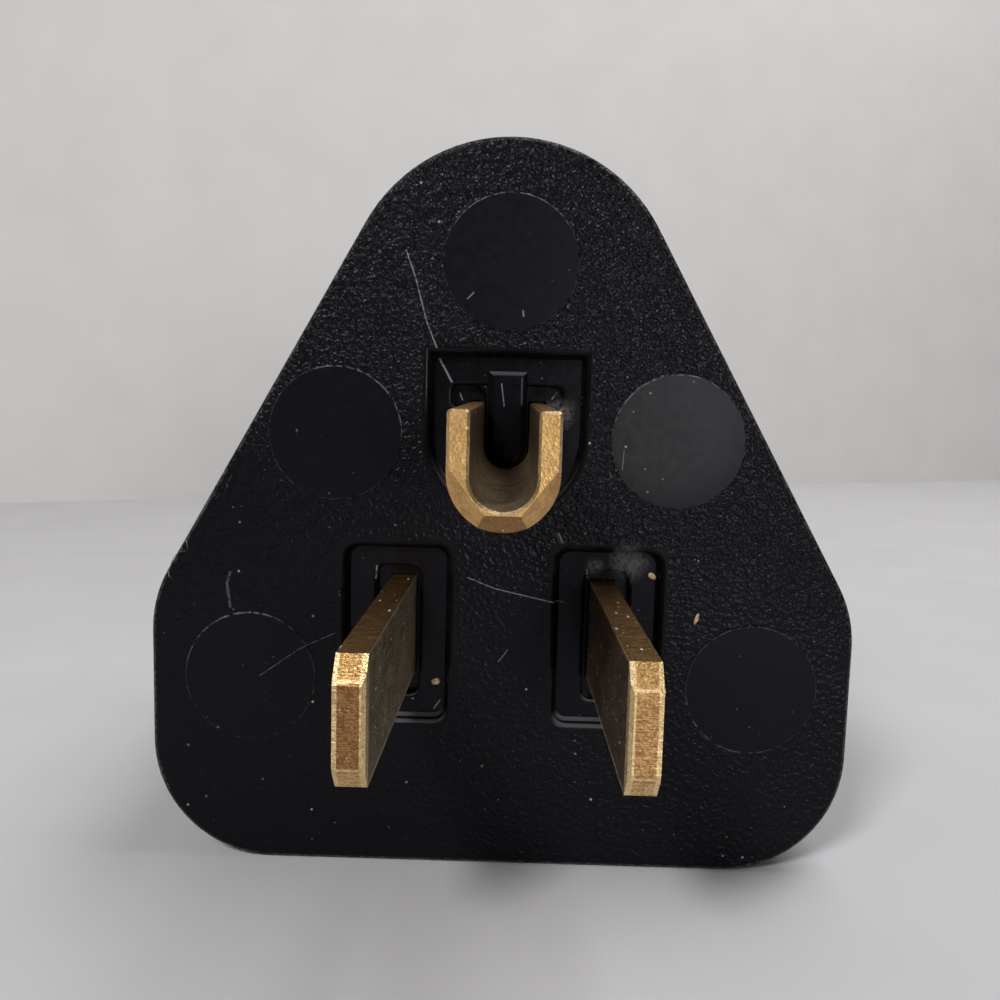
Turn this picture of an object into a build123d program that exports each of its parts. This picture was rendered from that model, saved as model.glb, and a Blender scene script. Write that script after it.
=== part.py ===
from build123d import *
from math import acos, atan2, cos, hypot, radians, sin, tan
import os

# Plug adapter: two flat blades and a folded ground pin in front, a three-slot socket behind.
# Millimetres. X runs to the right as the pins are seen, Y from the pins to the socket, Z up.
# The origin is the middle of the flat underside. Depths are counted from the plug face.

# Body, a rounded triangle with short upright sides
body_depth = 34.0
half_width = 22.25
body_height = 45.8
shoulder_height = 17.04
apex_radius = 10.25
shoulder_radius = 8.0
lower_radius = 7.7
cover_depth = 9.0
face_edge = 0.4
rear_edge = 1.8
parting_bevel = 0.25

# Walls
wall = 2.2
face_plate = 2.6
socket_plate = 3.0
lip_inset = 1.1
lip_thickness = 0.9
lip_length = 1.4
fit_gap = 0.1

# Flat blades
blade_spacing = 12.7
blade_line = 15.45
blade_height = 6.35
blade_thickness = 1.52
blade_reach = 18.0
blade_splay = 1.0
blade_splay_radius = 40.0
blade_bend = 0.5
blade_tip_drop = 1.1
blade_tip_length = 0.9
blade_tip_edge = 0.18
foot_seat = 6.0
foot_overlap = 3.5

# Ground pin, a strip folded to a U that opens upwards
ground_rise = 11.9
ground_reach = 21.0
ground_width = 4.7
ground_height = 5.1
ground_sheet = 0.95
ground_edge = 0.2
ground_tip_edge = 0.12
ground_nose = 0.8
ground_nose_turn = 52
strap_width = 3.0
strap_bend = 0.5
ground_foot_width = 5.2
ground_foot_height = 7.4
ground_foot_corner = 0.8

# Recesses and lands of the plug face
recess_depth = 0.9
pocket_depth = 1.65
blade_recess_width = 6.5
blade_recess_height = 11.2
blade_recess_out = 0.3
blade_recess_drop = 0.3
blade_recess_radius = 0.9
blade_pocket_width = 2.75
blade_pocket_height = 8.4
blade_pocket_radius = 0.6
recess_rim = 0.35
recess_root = 0.2
pocket_rim = 0.25
shield_half_width = 4.75
shield_top = 5.45
shield_arc_rise = 0.45
pin_pocket_width = 6.85
pin_pocket_rise = 1.0
pin_pocket_radius = 0.4
tongue_front = 0.7
tongue_edge = 0.5
tongue_root_radius = 0.7
land_radius = 4.15
land_height = 0.15
land_rim = 0.07
land_places = [(0, 38.35), (-10.6, 27.75), (10.6, 27.75), (-15.9, 12.15), (15.9, 12.15)]
pad_margin = 1.6
pad_radius = 1.0
beyond = 1.0

# Socket for a plug with three flat pins
socket_line = 9.5
socket_spacing = 22.23
earth_rise = 22.23
line_slot = (7.0, 4.6)
earth_slot = (4.6, 8.6)
slot_radius = 0.5
slot_lead = 0.4
throat = 8.0
shroud = 1.2

# Receptacle contacts and their clips
contact_sheet = 0.6
contact_width = 6.6
contact_half_gap = 3.2
contact_pinch = 1.7
contact_bend = 0.9
contact_straight = 4.0
contact_lip = 1.4
contact_clearance = 1.0
clip_sheet = 0.5
clip_length = 2.4
clip_setback = 6.0
clip_bend = 0.8
clip_side_gap = 0.3

# Rivets
rivet_radius = 1.2
rivet_head_radius = 1.9
rivet_head = 0.9
rivet_edge = 0.35
rivet_clearance = 0.05

# Screw, its pillar in the housing and its boss in the cover
screw_height = 19.5
screw_radius = 1.1
screw_tip = 7.0
screw_head_radius = 2.6
screw_head = 1.9
screw_crown = 0.6
screw_sink = 7.0
screw_clearance = 0.15
drive_width = 0.75
drive_span = 3.2
drive_depth = 1.2
boss_radius = 3.0
boss_meet = 13.0
pilot_floor = 4.5

# Posts and barriers of the housing
post_radius = 1.8
ground_post_radius = 1.1
barrier = 1.2
barrier_offset = 5.2
barrier_top = 23.4
barrier_front = 9.5

# Places worked out from the sizes above
face_y = -body_depth / 2
contact_seat = foot_seat + blade_thickness
ground_seat = contact_seat - ground_sheet
ground_centre = blade_line + ground_rise
ground_bottom = ground_centre - ground_height / 2
ground_top = ground_centre + ground_height / 2
ground_arc = ground_bottom + ground_width / 2
earth_line = socket_line + earth_rise
contact_end = body_depth - throat - contact_clearance
plate_back = body_depth - socket_plate
screw_seat = body_depth - screw_sink
shield_roof = ground_centre + shield_top
pin_pocket_roof = ground_top + pin_pocket_rise
tongue_radius = ground_width / 2 - ground_sheet - fit_gap
tongue_end = foot_seat - 2 * strap_bend
pin_names = {-1: "neutral", 1: "line"}


def front_plane(depth):
    # faces the pins, at a depth behind the plug face
    return Plane(origin=(0, face_y + depth, 0), x_dir=(1, 0, 0), z_dir=(0, -1, 0))


def slab(profile, front, back):
    # a front-view profile made solid between two depths
    return extrude(front_plane(back) * profile, amount=back - front)


def box_profile(x, z, width, height, radius=0.0):
    if radius > 0:
        return Pos(x, z) * RectangleRounded(width, height, radius)
    return Pos(x, z) * Rectangle(width, height)


def disc(x, z, radius):
    return Pos(x, z) * Circle(radius)


def outline(inset=0.0, floor=0.0):
    # the body's front view, moved in by inset, with its flat bottom at floor
    drop = body_height - apex_radius - shoulder_height
    slope = acos(apex_radius / hypot(half_width, drop)) - atan2(drop, half_width)
    x = half_width - inset
    top_radius = apex_radius - inset
    apex_z = body_height - apex_radius
    shoulder_z = apex_z + (top_radius - x * cos(slope)) / sin(slope)
    peak_z = apex_z + top_radius / sin(slope)
    corners = [(-x, floor), (x, floor), (x, shoulder_z), (0, peak_z), (-x, shoulder_z)]
    low = lower_radius - max(inset, floor)
    side = shoulder_radius - inset
    return make_face(FilletPolyline(*corners, radius=[low, low, side, top_radius, side], close=True))


def shield_profile(grow=0.0):
    # flat top, straight sides and a round bottom, about the ground pin
    half = shield_half_width + grow
    arc_z = ground_centre + shield_arc_rise
    roof = shield_roof + grow
    return disc(0, arc_z, half) + box_profile(0, (arc_z + roof) / 2, 2 * half, roof - arc_z)


def u_profile(grow=0.0):
    # the filled outline of the folded ground pin, seen from the front
    radius = ground_width / 2 + grow
    top = ground_top + grow
    upper = box_profile(0, (ground_arc + top) / 2, 2 * radius, top - ground_arc)
    return disc(0, ground_arc, radius) + upper


def tongue_profile():
    # fills the ground pin's U with a clearance and hangs from the pocket's roof
    top = pin_pocket_roof + beyond
    upper = box_profile(0, (ground_arc + top) / 2, 2 * tongue_radius, top - ground_arc)
    return disc(0, ground_arc, tongue_radius) + upper


def recess_centre(side):
    return side * (blade_spacing / 2 + blade_recess_out), blade_line - blade_recess_drop


def blade_seat_profile(side):
    # pad behind a blade's recess, as large as the blade's foot and a margin
    inner = blade_spacing / 2 - blade_thickness / 2 - pad_margin
    outer = socket_spacing / 2 + contact_width / 2 + pad_margin / 2
    low = socket_line - foot_overlap - pad_margin / 2
    high = blade_line + blade_height / 2 + pad_margin
    middle = side * (inner + outer) / 2
    return box_profile(middle, (low + high) / 2, outer - inner, high - low, pad_radius)


def make_plug_cover():
    cover = slab(outline(), 0, cover_depth)
    cover = fillet(cover.faces().sort_by(Axis.Y)[0].edges(), face_edge)
    cover = chamfer(cover.faces().sort_by(Axis.Y)[-1].edges(), parting_bevel)
    cover -= slab(outline(wall, wall), face_plate, cover_depth)
    cover -= slab(outline(lip_inset, lip_inset), cover_depth - lip_length - fit_gap, cover_depth)
    shield_pad = shield_profile(pad_margin) & outline(wall, wall)
    cover += slab(shield_pad, recess_depth + pad_margin, ground_seat)
    cover += slab(disc(0, screw_height, boss_radius), face_plate / 2, boss_meet)
    for side in pin_names:
        cover += slab(blade_seat_profile(side), face_plate / 2, foot_seat)
        cover = cut_blade_recess(cover, side)
    cover = cut_pin_recess(cover)
    cover -= slab(disc(0, screw_height, screw_radius + screw_clearance), pilot_floor, boss_meet)
    for place in land_places:
        land = slab(disc(*place, land_radius), -land_height, face_edge)
        cover += chamfer(land.faces().sort_by(Axis.Y)[0].edges(), land_rim)
    return cover


def ease_edges(cover, depth, profile, size, ease=fillet):
    # rounds or bevels the edges that lie at a depth and along the outline of a profile
    box = profile.bounding_box()
    near = fit_gap / 2
    picked = []
    for edge in cover.edges():
        low, high = edge.bounding_box().min, edge.bounding_box().max
        level = abs(low.Y - face_y - depth) < near and abs(high.Y - face_y - depth) < near
        across = box.min.X - near < low.X and high.X < box.max.X + near
        if level and across and box.min.Y - near < low.Z and high.Z < box.max.Y + near:
            picked.append(edge)
    return ease(picked, size)


def cut_blade_recess(cover, side):
    x, z = recess_centre(side)
    blade_x = side * blade_spacing / 2
    slot_width = blade_thickness + 2 * fit_gap
    slot_height = blade_height + 2 * fit_gap
    relief = blade_bend + fit_gap
    relief_x = blade_x + side * (slot_width + relief) / 2
    recess = box_profile(x, z, blade_recess_width, blade_recess_height, blade_recess_radius)
    pocket = box_profile(x, z, blade_pocket_width, blade_pocket_height, blade_pocket_radius)
    rivet_room = disc(side * socket_spacing / 2, socket_line, rivet_head_radius + fit_gap)
    cover = ease_edges(cover - slab(recess, 0, recess_depth), recess_depth, recess, recess_root, chamfer)
    cover = ease_edges(cover, 0, recess, recess_rim)
    cover = ease_edges(cover - slab(pocket, 0, pocket_depth), recess_depth, pocket, pocket_rim)
    cover -= slab(box_profile(blade_x, blade_line, slot_width, slot_height), 0, foot_seat)
    cover -= slab(box_profile(relief_x, blade_line, relief, slot_height), foot_seat - relief, foot_seat)
    cover -= slab(rivet_room, foot_seat - rivet_head - fit_gap, foot_seat)
    return cover


def cut_pin_recess(cover):
    tongue = tongue_profile()
    opening = u_profile(fit_gap)
    head_z = (ground_arc + pin_pocket_roof) / 2 + ground_width / 4
    head = box_profile(0, head_z, pin_pocket_width, 2 * (pin_pocket_roof - head_z), pin_pocket_radius)
    room = head + opening
    gap = room - tongue
    roots = [v for v in gap.vertices() if abs(v.X) < ground_width / 2 and v.Y > pin_pocket_roof - fit_gap]
    webs = room - fillet(roots, tongue_root_radius)
    strap_height = ground_sheet + 2 * fit_gap
    strap_room = box_profile(0, ground_bottom + ground_sheet / 2, strap_width + 2 * fit_gap, strap_height)
    rivet_room = disc(0, earth_line, rivet_head_radius + fit_gap)
    shield = shield_profile()
    cover = ease_edges(cover - slab(shield, 0, recess_depth), recess_depth, shield, recess_root, chamfer)
    cover = ease_edges(cover, 0, shield, recess_rim)
    cover = ease_edges(cover - slab(room, 0, pocket_depth), recess_depth, room, pocket_rim)
    cover -= slab(opening, pocket_depth, ground_seat)
    cover += slab(webs, recess_depth, pocket_depth)
    cover -= slab(strap_room, tongue_end, ground_seat)
    cover -= slab(rivet_room, ground_seat - rivet_head - fit_gap, ground_seat)
    finger = slab(tongue, tongue_front, tongue_end)
    return cover + fillet(finger.faces().sort_by(Axis.Y)[0].edges(), tongue_edge)


def make_blade(side):
    # bent strip in plan: splayed reach, straight shank, foot turned outwards
    x = side * blade_spacing / 2
    foot_y = face_y + foot_seat + blade_thickness / 2
    foot_end = socket_spacing / 2 + contact_width / 2
    splay = (blade_reach + pocket_depth) * tan(radians(blade_splay))
    path = FilletPolyline(
        (x + side * splay, face_y - blade_reach),
        (x, face_y + pocket_depth),
        (x, foot_y),
        (side * foot_end, foot_y),
        radius=[blade_splay_radius, blade_bend + blade_thickness / 2],
    )
    plan = Pos(0, 0, blade_line - blade_height / 2) * trace(path, blade_thickness)
    strip = extrude(plan, amount=blade_height) & blade_side_view()
    strip = chamfer(strip.faces().sort_by(Axis.Y)[0].edges(), blade_tip_edge)
    foot_inner = blade_spacing / 2 + blade_thickness / 2 + blade_bend
    foot_low = socket_line - foot_overlap
    foot_high = blade_line + blade_height / 2
    foot_x = side * (foot_inner + foot_end) / 2
    foot = box_profile(foot_x, (foot_low + foot_high) / 2, foot_end - foot_inner, foot_high - foot_low)
    hole = disc(side * socket_spacing / 2, socket_line, rivet_radius + rivet_clearance)
    return strip + slab(foot, foot_seat, contact_seat) - slab(hole, foot_seat, contact_seat)


def blade_side_view():
    # side view of a blade with its tip bevelled above and below, as a wide slab along X
    half = blade_height / 2
    tip = face_y - blade_reach
    view = Polygon(
        (tip, blade_line - half + blade_tip_drop),
        (tip + blade_tip_length, blade_line - half),
        (face_y + body_depth, blade_line - half),
        (face_y + body_depth, blade_line + half),
        (tip + blade_tip_length, blade_line + half),
        (tip, blade_line + half - blade_tip_drop),
        align=None,
    )
    return extrude(Plane.YZ * view, amount=half_width, both=True)


def make_ground_pin():
    pin = slab(u_profile(), -ground_reach, ground_seat - fit_gap)
    pin -= slab(u_profile(-ground_sheet) + u_opening(), -ground_reach, ground_seat - fit_gap)
    rails = pin.edges().filter_by(Axis.Y).filter_by(lambda e: e.center().Z > ground_top - ground_edge)
    pin = fillet(rails, ground_edge)
    pin = chamfer(pin.faces().sort_by(Axis.Y)[0].edges(), ground_tip_edge)
    for turn in (-ground_nose_turn, 0, ground_nose_turn):
        pin -= nose_cut().rotate(Axis((0, 0, ground_arc), (0, 1, 0)), turn)
    strap_z = ground_bottom + ground_sheet / 2
    strap_y = face_y + ground_seat + ground_sheet / 2
    path = FilletPolyline(
        (face_y + tongue_end + fit_gap, strap_z),
        (strap_y, strap_z),
        (strap_y, earth_line),
        radius=strap_bend + ground_sheet / 2,
    )
    strap = extrude(Plane.YZ * trace(path, ground_sheet), amount=strap_width / 2, both=True)
    foot = box_profile(0, earth_line, ground_foot_width, ground_foot_height, ground_foot_corner)
    hole = disc(0, earth_line, rivet_radius + rivet_clearance)
    return pin + strap + slab(foot, ground_seat, contact_seat) - slab(hole, ground_seat, contact_seat)


def u_opening():
    width = ground_width - 2 * ground_sheet
    return box_profile(0, ground_top, width, ground_height)


def nose_cut():
    # wedge that bevels the pin's tip from below
    tip = face_y - ground_reach
    wedge = Polygon(
        (tip - beyond, ground_bottom - beyond),
        (tip - beyond, ground_bottom + ground_nose + beyond),
        (tip + ground_nose + beyond, ground_bottom - beyond),
        align=None,
    )
    return extrude(Plane.YZ * wedge, amount=ground_width, both=True)


def contact_profile():
    # two sprung leaves and their web, as depth along X and spread along Y
    web = contact_seat + contact_sheet / 2
    pinch = contact_end - contact_lip
    upper = [
        (contact_end, contact_pinch + contact_lip),
        (pinch, contact_pinch),
        (web + contact_straight, contact_half_gap),
        (web, contact_half_gap),
    ]
    lower = [(depth, -spread) for depth, spread in reversed(upper)]
    return trace(FilletPolyline(*upper, *lower, radius=contact_bend), contact_sheet)


def leaf_spread(depth):
    # outer surface of a leaf above the contact's middle at a depth
    start = contact_seat + contact_sheet / 2 + contact_straight
    share = (depth - start) / (contact_end - contact_lip - start)
    return contact_half_gap + (contact_pinch - contact_half_gap) * share + contact_sheet / 2


def make_line_contact(side):
    x = side * socket_spacing / 2
    plane = Plane(origin=(x - contact_width / 2, face_y, socket_line), x_dir=(0, 1, 0), z_dir=(1, 0, 0))
    contact = extrude(plane * contact_profile(), amount=contact_width)
    return contact - rivet_hole(x, socket_line)


def make_earth_contact():
    plane = Plane(origin=(0, face_y, earth_line - contact_width / 2), x_dir=(0, 1, 0), z_dir=(0, 0, 1))
    contact = extrude(plane * contact_profile(), amount=contact_width)
    return contact - rivet_hole(0, earth_line)


def rivet_hole(x, z):
    return slab(disc(x, z, rivet_radius + rivet_clearance), contact_seat, contact_seat + contact_sheet)


def make_clip(centre_x, centre_z, turn):
    # open steel ring round both leaves
    front = contact_end - clip_setback
    half = leaf_spread(front) + fit_gap + clip_sheet / 2
    side = contact_width / 2 + clip_side_gap + clip_sheet / 2
    upper = [(side, half / 2), (side, half), (-side, half)]
    lower = [(x, -z) for x, z in reversed(upper)]
    path = FilletPolyline(*upper, *lower, radius=clip_bend)
    ring = Pos(centre_x, centre_z) * Rot(0, 0, turn) * trace(path, clip_sheet)
    return slab(ring, front, front + clip_length)


def make_rivet(x, z, seat):
    # head in front of the foot, shank, and a second head behind the contact
    back = contact_seat + contact_sheet
    head = slab(disc(x, z, rivet_head_radius), seat - rivet_head, seat)
    head = chamfer(head.faces().sort_by(Axis.Y)[0].edges(), rivet_edge)
    tail = slab(disc(x, z, rivet_head_radius), back, back + rivet_head)
    tail = chamfer(tail.faces().sort_by(Axis.Y)[-1].edges(), rivet_edge)
    return head + slab(disc(x, z, rivet_radius), seat, back) + tail


def make_housing_screw():
    # pan head in its counterbore, plain shank and pointed end
    half = Polygon(
        (0, screw_tip),
        (screw_radius, screw_tip + 2 * screw_radius),
        (screw_radius, screw_seat),
        (screw_head_radius, screw_seat),
        (screw_head_radius, screw_seat + screw_head - screw_crown),
        (screw_head_radius - screw_crown, screw_seat + screw_head),
        (0, screw_seat + screw_head),
        align=None,
    )
    plane = Plane(origin=(0, face_y, screw_height), x_dir=(1, 0, 0), z_dir=(0, 0, 1))
    screw = revolve(plane * half, axis=Axis((0, face_y, screw_height), (0, 1, 0)))
    cross = box_profile(0, screw_height, drive_span, drive_width)
    cross += box_profile(0, screw_height, drive_width, drive_span)
    return screw - slab(cross, screw_seat + screw_head - drive_depth, screw_seat + screw_head)


def slot_places():
    half = socket_spacing / 2
    return [(-half, socket_line, line_slot), (half, socket_line, line_slot), (0, earth_line, earth_slot)]


def make_rear_housing():
    housing = slab(outline(), cover_depth, body_depth)
    housing = fillet(housing.faces().sort_by(Axis.Y)[-1].edges(), rear_edge)
    housing = chamfer(housing.faces().sort_by(Axis.Y)[0].edges(), parting_bevel)
    housing -= slab(outline(wall, wall), cover_depth, plate_back)
    lip_outer = lip_inset + fit_gap
    lip_inner = lip_outer + lip_thickness
    lip = outline(lip_outer, lip_outer) - outline(lip_inner, lip_inner)
    housing += slab(lip, cover_depth - lip_length, cover_depth)
    housing += housing_ribs() & slab(outline(wall / 2, wall / 2), 0, plate_back + socket_plate / 2)
    for x, z, (width, height) in slot_places():
        housing -= slab(box_profile(x, z, width, height, slot_radius), body_depth - throat, body_depth)
    housing -= slab(disc(0, screw_height, screw_head_radius + screw_clearance), screw_seat, body_depth)
    housing -= slab(disc(0, screw_height, screw_radius + screw_clearance), boss_meet, screw_seat)
    mouths = [edge for wire in housing.faces().sort_by(Axis.Y)[-1].inner_wires() for edge in wire.edges()]
    return chamfer(mouths, slot_lead)


def housing_ribs():
    root = plate_back + socket_plate / 2
    ribs = slab(disc(0, screw_height, boss_radius), boss_meet, root)
    for x, z, (width, height) in slot_places():
        guide = box_profile(x, z, width + 2 * shroud, height + 2 * shroud, slot_radius + shroud)
        ribs += slab(guide, body_depth - throat, root)
    foot_free = (socket_line + contact_half_gap + contact_sheet / 2 + blade_line + blade_height / 2) / 2
    for side in pin_names:
        ribs += slab(disc(side * socket_spacing / 2, foot_free, post_radius), contact_seat, root)
        upright = box_profile(side * barrier_offset, barrier_top / 2, barrier, barrier_top)
        ribs += slab(upright, barrier_front, root)
    ribs += slab(box_profile(0, barrier_top, 2 * half_width, barrier), barrier_front, root)
    post_z = ground_bottom + ground_post_radius
    ribs += slab(disc(0, post_z, ground_post_radius), contact_seat, root)
    return ribs


parts = {
    "plug_cover": make_plug_cover(),
    "rear_housing": make_rear_housing(),
    "ground_pin": make_ground_pin(),
    "earth_contact": make_earth_contact(),
    "earth_clip": make_clip(0, earth_line, 90),
    "ground_rivet": make_rivet(0, earth_line, ground_seat),
    "housing_screw": make_housing_screw(),
}
for side, name in pin_names.items():
    contact_x = side * socket_spacing / 2
    parts[name + "_blade"] = make_blade(side)
    parts[name + "_contact"] = make_line_contact(side)
    parts[name + "_clip"] = make_clip(contact_x, socket_line, 0 if side < 0 else 180)
    parts[name + "_rivet"] = make_rivet(contact_x, socket_line, foot_seat)

os.makedirs("parts", exist_ok=True)
for name, part in parts.items():
    export_step(part, "parts/" + name + ".step")
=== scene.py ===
import math

import bpy
from mathutils import Matrix, Vector


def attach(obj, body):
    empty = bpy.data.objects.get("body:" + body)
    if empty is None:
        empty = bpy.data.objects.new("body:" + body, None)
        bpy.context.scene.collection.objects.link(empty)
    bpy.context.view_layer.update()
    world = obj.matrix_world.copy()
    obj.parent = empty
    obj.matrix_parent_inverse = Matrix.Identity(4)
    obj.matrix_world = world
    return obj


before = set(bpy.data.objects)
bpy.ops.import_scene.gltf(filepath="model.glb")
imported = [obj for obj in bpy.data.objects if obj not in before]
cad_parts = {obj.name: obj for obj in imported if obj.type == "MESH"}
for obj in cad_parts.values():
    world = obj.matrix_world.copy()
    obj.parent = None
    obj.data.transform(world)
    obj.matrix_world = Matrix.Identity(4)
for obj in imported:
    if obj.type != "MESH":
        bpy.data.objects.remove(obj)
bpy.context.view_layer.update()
mm = 0.001
cameraView = {
    "place": (0.000257, -0.07721, 0.03078),
    "yaw": 0.537,  # degrees to the left
    "pitch": 6.566,  # degrees down
    "roll": 1.512,
    "lens": 35.035,
    "sensor": 36.0,
    "near": 0.002,
    "far": 20.0,
}


def addCamera():
    yaw, pitch, roll = (math.radians(cameraView[key]) for key in ("yaw", "pitch", "roll"))
    right = Vector((math.cos(yaw), math.sin(yaw), 0))
    ahead = Vector((-math.sin(yaw) * math.cos(pitch), math.cos(yaw) * math.cos(pitch), -math.sin(pitch)))
    up = right.cross(ahead)
    across = right * math.cos(roll) + up * math.sin(roll)
    above = up * math.cos(roll) - right * math.sin(roll)
    data = bpy.data.cameras.new("camera")
    data.lens = cameraView["lens"]
    data.sensor_width = cameraView["sensor"]
    data.clip_start = cameraView["near"]
    data.clip_end = cameraView["far"]
    camera = bpy.data.objects.new("camera", data)
    turn = Matrix((across, above, -ahead)).transposed().to_4x4()
    camera.matrix_world = Matrix.Translation(cameraView["place"]) @ turn
    bpy.context.scene.collection.objects.link(camera)
    bpy.context.scene.camera = camera


addCamera()
bpy.context.scene.view_settings.view_transform = "Standard"
print("camera ready")


# Small helpers for building nodes
def feed(tree, socket, source):
    if isinstance(source, bpy.types.NodeSocket):
        tree.links.new(source, socket)
    else:
        socket.default_value = source


def compute(tree, operation, *values):
    node = tree.nodes.new("ShaderNodeMath")
    node.operation = operation
    for socket, value in zip(node.inputs, values):
        feed(tree, socket, value)
    return node.outputs[0]


def times(tree, *values):
    product = values[0]
    for value in values[1:]:
        product = compute(tree, "MULTIPLY", product, value)
    return product


def plus(tree, *values):
    total = values[0]
    for value in values[1:]:
        total = compute(tree, "ADD", total, value)
    return total


def minus(tree, first, second):
    return compute(tree, "SUBTRACT", first, second)


def greatest(tree, *values):
    most = values[0]
    for value in values[1:]:
        most = compute(tree, "MAXIMUM", most, value)
    return most


def offset(tree, value, middle):
    # how far a value is from a middle, to either side
    return compute(tree, "ABSOLUTE", minus(tree, value, middle))


def vectorCompute(tree, operation, first, second=(0, 0, 0), output="Vector"):
    node = tree.nodes.new("ShaderNodeVectorMath")
    node.operation = operation
    feed(tree, node.inputs[0], first)
    feed(tree, node.inputs[1], second)
    return node.outputs[output]


def scaleVector(tree, vector, amount):
    node = tree.nodes.new("ShaderNodeVectorMath")
    node.operation = "SCALE"
    feed(tree, node.inputs[0], vector)
    feed(tree, node.inputs["Scale"], amount)
    return node.outputs[0]


def ramp(tree, value, low, high, outLow=0.0, outHigh=1.0):
    node = tree.nodes.new("ShaderNodeMapRange")
    node.interpolation_type = "SMOOTHSTEP"
    for socket, source in zip(node.inputs, (value, low, high, outLow, outHigh)):
        feed(tree, socket, source)
    return node.outputs[0]


def between(tree, value, low, high, soft):
    # 1 inside a range, with soft ends
    rise = ramp(tree, value, low - soft, low)
    return times(tree, rise, ramp(tree, value, high, high + soft, 1.0, 0.0))


def blendColour(tree, factor, first, second, way="MIX"):
    node = tree.nodes.new("ShaderNodeMix")
    node.data_type = "RGBA"
    node.blend_type = way
    feed(tree, node.inputs[0], factor)
    feed(tree, node.inputs[6], first)
    feed(tree, node.inputs[7], second)
    return node.outputs[2]


def noiseAt(tree, place, scale, detail, roughness):
    node = tree.nodes.new("ShaderNodeTexNoise")
    sources = {"Vector": place, "Scale": scale, "Detail": detail, "Roughness": roughness}
    for name, source in sources.items():
        feed(tree, node.inputs[name], source)
    return node.outputs[0]


def stretched(tree, place, stretch):
    node = tree.nodes.new("ShaderNodeMapping")
    feed(tree, node.inputs["Vector"], place)
    node.inputs["Scale"].default_value = stretch
    return node.outputs[0]


def split(tree, vector):
    node = tree.nodes.new("ShaderNodeSeparateXYZ")
    tree.links.new(vector, node.inputs[0])
    return node.outputs


def bumpOf(tree, height, depth, strength=1.0):
    node = tree.nodes.new("ShaderNodeBump")
    for name, source in (("Height", height), ("Distance", depth), ("Strength", strength)):
        feed(tree, node.inputs[name], source)
    return node.outputs[0]


def newGroup(name, inputs, outputs):
    tree = bpy.data.node_groups.new(name, "ShaderNodeTree")
    for label, kind, value in inputs:
        socket = tree.interface.new_socket(name=label, in_out="INPUT", socket_type="NodeSocket" + kind)
        socket.default_value = value
    for label, kind in outputs:
        tree.interface.new_socket(name=label, in_out="OUTPUT", socket_type="NodeSocket" + kind)
    entry = tree.nodes.new("NodeGroupInput")
    leave = tree.nodes.new("NodeGroupOutput")
    return tree, entry.outputs, leave.inputs


def useGroup(tree, group, **sources):
    node = tree.nodes.new("ShaderNodeGroup")
    node.node_tree = group
    for name, source in sources.items():
        feed(tree, node.inputs[name], source)
    return node.outputs


def newMaterial(name):
    material = bpy.data.materials.new(name)
    material.use_nodes = True
    tree = material.node_tree
    tree.nodes.clear()
    surface = tree.nodes.new("ShaderNodeBsdfPrincipled")
    output = tree.nodes.new("ShaderNodeOutputMaterial")
    tree.links.new(surface.outputs["BSDF"], output.inputs["Surface"])
    place = tree.nodes.new("ShaderNodeTexCoord").outputs["Object"]
    return material, tree, surface, place


def facing(tree):
    # x, y and z of the surface's own normal, without bump
    return split(tree, tree.nodes.new("ShaderNodeNewGeometry").outputs["Normal"])


# Spark-eroded grain of a moulded surface: soft bumps that run into each other
def buildMouldGrain():
    tree, given, give = newGroup(
        "mouldGrain",
        [("Place", "Vector", (0, 0, 0)), ("Size", "Float", 0.00028)],
        [("Height", "Float")],
    )
    scale = compute(tree, "DIVIDE", 1.0, given["Size"])
    bumps = noiseAt(tree, given["Place"], scale, 1.0, 0.6)
    feed(tree, give["Height"], ramp(tree, bumps, 0.3, 0.7))
    return tree


# Light specks, each with its own size and strength
def buildDust():
    tree, given, give = newGroup(
        "dust",
        [("Place", "Vector", (0, 0, 0)), ("Spacing", "Float", 0.0015), ("Size", "Float", 0.06),
         ("Share", "Float", 0.3)],
        [("Mask", "Float")],
    )
    cells = tree.nodes.new("ShaderNodeTexVoronoi")
    feed(tree, cells.inputs["Vector"], given["Place"])
    feed(tree, cells.inputs["Scale"], compute(tree, "DIVIDE", 1.0, given["Spacing"]))
    own = tree.nodes.new("ShaderNodeSeparateColor")
    tree.links.new(cells.outputs["Color"], own.inputs[0])
    size = times(tree, given["Size"], ramp(tree, own.outputs[1], 0.0, 1.0, 0.35, 1.0))
    near = ramp(tree, cells.outputs["Distance"], times(tree, size, 0.6), size, 1.0, 0.0)
    chosen = compute(tree, "LESS_THAN", own.outputs[0], given["Share"])
    strength = plus(tree, 0.25, times(tree, 0.75, own.outputs[2], own.outputs[2]))
    feed(tree, give["Mask"], times(tree, near, chosen, strength))
    return tree


# A straight stroke from a point of the face, added to the strokes before it
def buildStroke():
    tree, given, give = newGroup(
        "stroke",
        [("Flat", "Vector", (0, 0, 0)), ("Start", "Vector", (0, 0, 0)), ("Way", "Vector", (1, 0, 0)),
         ("Length", "Float", 0.001), ("Width", "Float", 0.0001), ("Before", "Float", 0.0)],
        [("Mask", "Float")],
    )
    away = vectorCompute(tree, "SUBTRACT", given["Flat"], given["Start"])
    along = vectorCompute(tree, "DOT_PRODUCT", away, given["Way"], "Value")
    along = greatest(tree, compute(tree, "MINIMUM", along, given["Length"]), 0.0)
    distance = vectorCompute(tree, "DISTANCE", away, scaleVector(tree, given["Way"], along), "Value")
    line = ramp(tree, distance, 0.0, given["Width"], 1.0, 0.0)
    feed(tree, give["Mask"], greatest(tree, line, given["Before"]))
    return tree


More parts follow.
